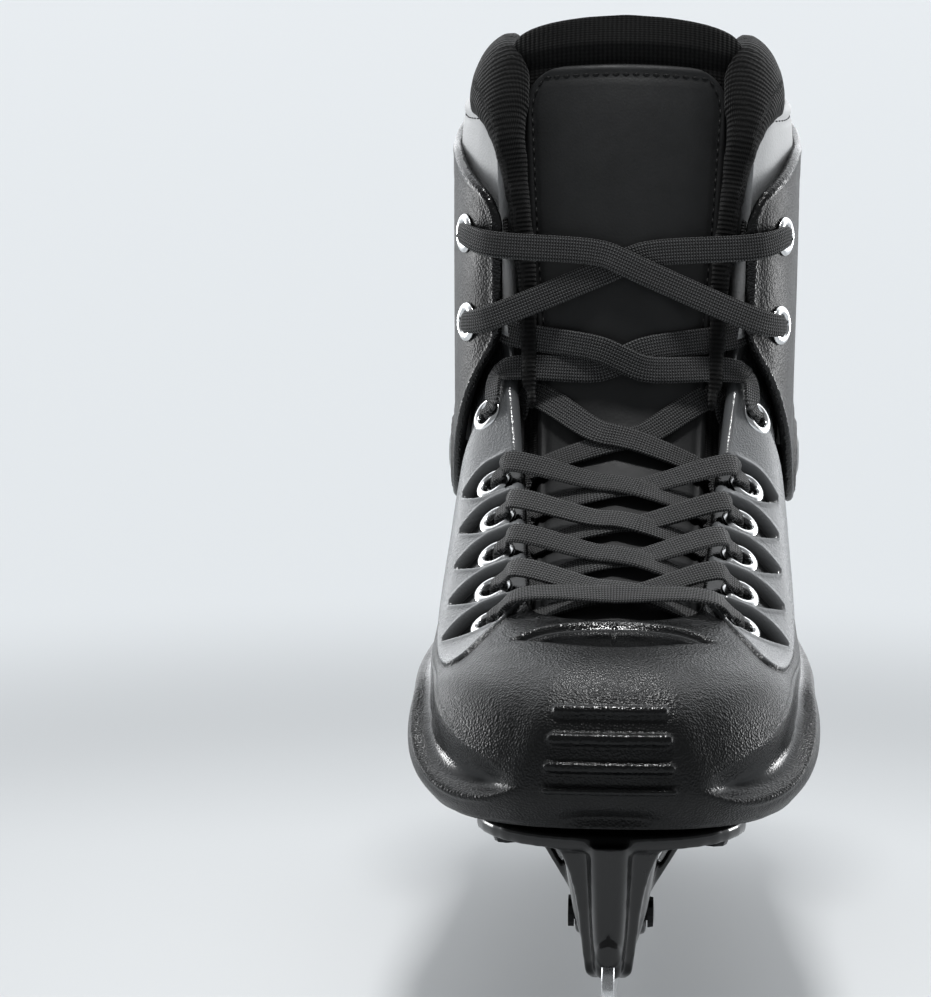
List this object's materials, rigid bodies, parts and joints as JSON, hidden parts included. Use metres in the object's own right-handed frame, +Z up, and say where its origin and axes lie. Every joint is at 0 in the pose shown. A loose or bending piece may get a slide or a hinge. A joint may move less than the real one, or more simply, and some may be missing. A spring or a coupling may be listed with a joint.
{
  "type": "ice skate",
  "caption": "Hard-shell ice skate with a hinged ankle cuff, soft liner and tongue, flat lace in plated eyelets, and a steel runner in a moulded two-tower holder.",
  "frame": {"origin": "centre of the bounding box's foot: under the middle of the runner, at the level where it meets the ice", "axes": "+Z up from the runner, -Y to the toe and +Y to the heel, +X to the side on the right when the toe faces the viewer"},
  "size_m": [0.116, 0.292, 0.281],
  "materials": {
    "shell": "fine-grained black polypropylene, satin",
    "bolt_plastic": "black, lightly polished",
    "steel": "zinc-plated steel",
    "eyelet": "nickel-plated",
    "lining": "black lining over foam",
    "grey_fabric": "silver-grey coated fabric over foam",
    "knit": "black ribbed knit over foam",
    "leatherette": "smooth black leatherette",
    "lace": "black woven flat lace",
    "holder": "glossy black nylon",
    "blade_steel": "ground stainless steel"
  },
  "bodies": {
    "boot": {"boot_shell": "shell", "pivot_bolt_right": "bolt_plastic", "pivot_bolt_left": "bolt_plastic", "pivot_nut_right": "steel", "pivot_nut_left": "steel", "eyelet_right_3": "eyelet", "eyelet_left_3": "eyelet", "eyelet_right_4": "eyelet", "eyelet_left_4": "eyelet", "eyelet_right_5": "eyelet", "eyelet_left_5": "eyelet", "eyelet_right_6": "eyelet", "eyelet_left_6": "eyelet", "eyelet_right_7": "eyelet", "eyelet_left_7": "eyelet", "eyelet_right_8": "eyelet", "eyelet_left_8": "eyelet", "liner_lower": "lining", "footbed": "lining", "tongue_lower": "knit", "lace": "lace", "blade_holder": "holder", "blade": "blade_steel", "blade_bolt_front": "steel", "blade_nut_front": "steel", "blade_bolt_rear": "steel", "blade_nut_rear": "steel", "holder_rivet_1": "steel", "holder_rivet_2": "steel", "holder_rivet_3": "steel", "holder_rivet_4": "steel", "holder_rivet_5": "steel", "holder_rivet_6": "steel", "holder_rivet_7": "steel", "holder_rivet_8": "steel"},
    "cuff": {"ankle_cuff": "shell", "liner_upper": "grey_fabric", "liner_collar": "knit", "tongue_upper": "knit", "tongue_panel": "leatherette", "eyelet_right_1": "eyelet", "eyelet_left_1": "eyelet", "eyelet_right_2": "eyelet", "eyelet_left_2": "eyelet"}
  },
  "joints": [
    {"name": "cuff_flex", "type": "hinge", "parent": "boot", "child": "cuff", "pos_m": [0, 0.066, 0.14], "axis": [1, 0, 0], "range_deg": [-2, 8], "stiffness_Nm_per_rad": 12, "deforming": ["lace"]}
  ]
}
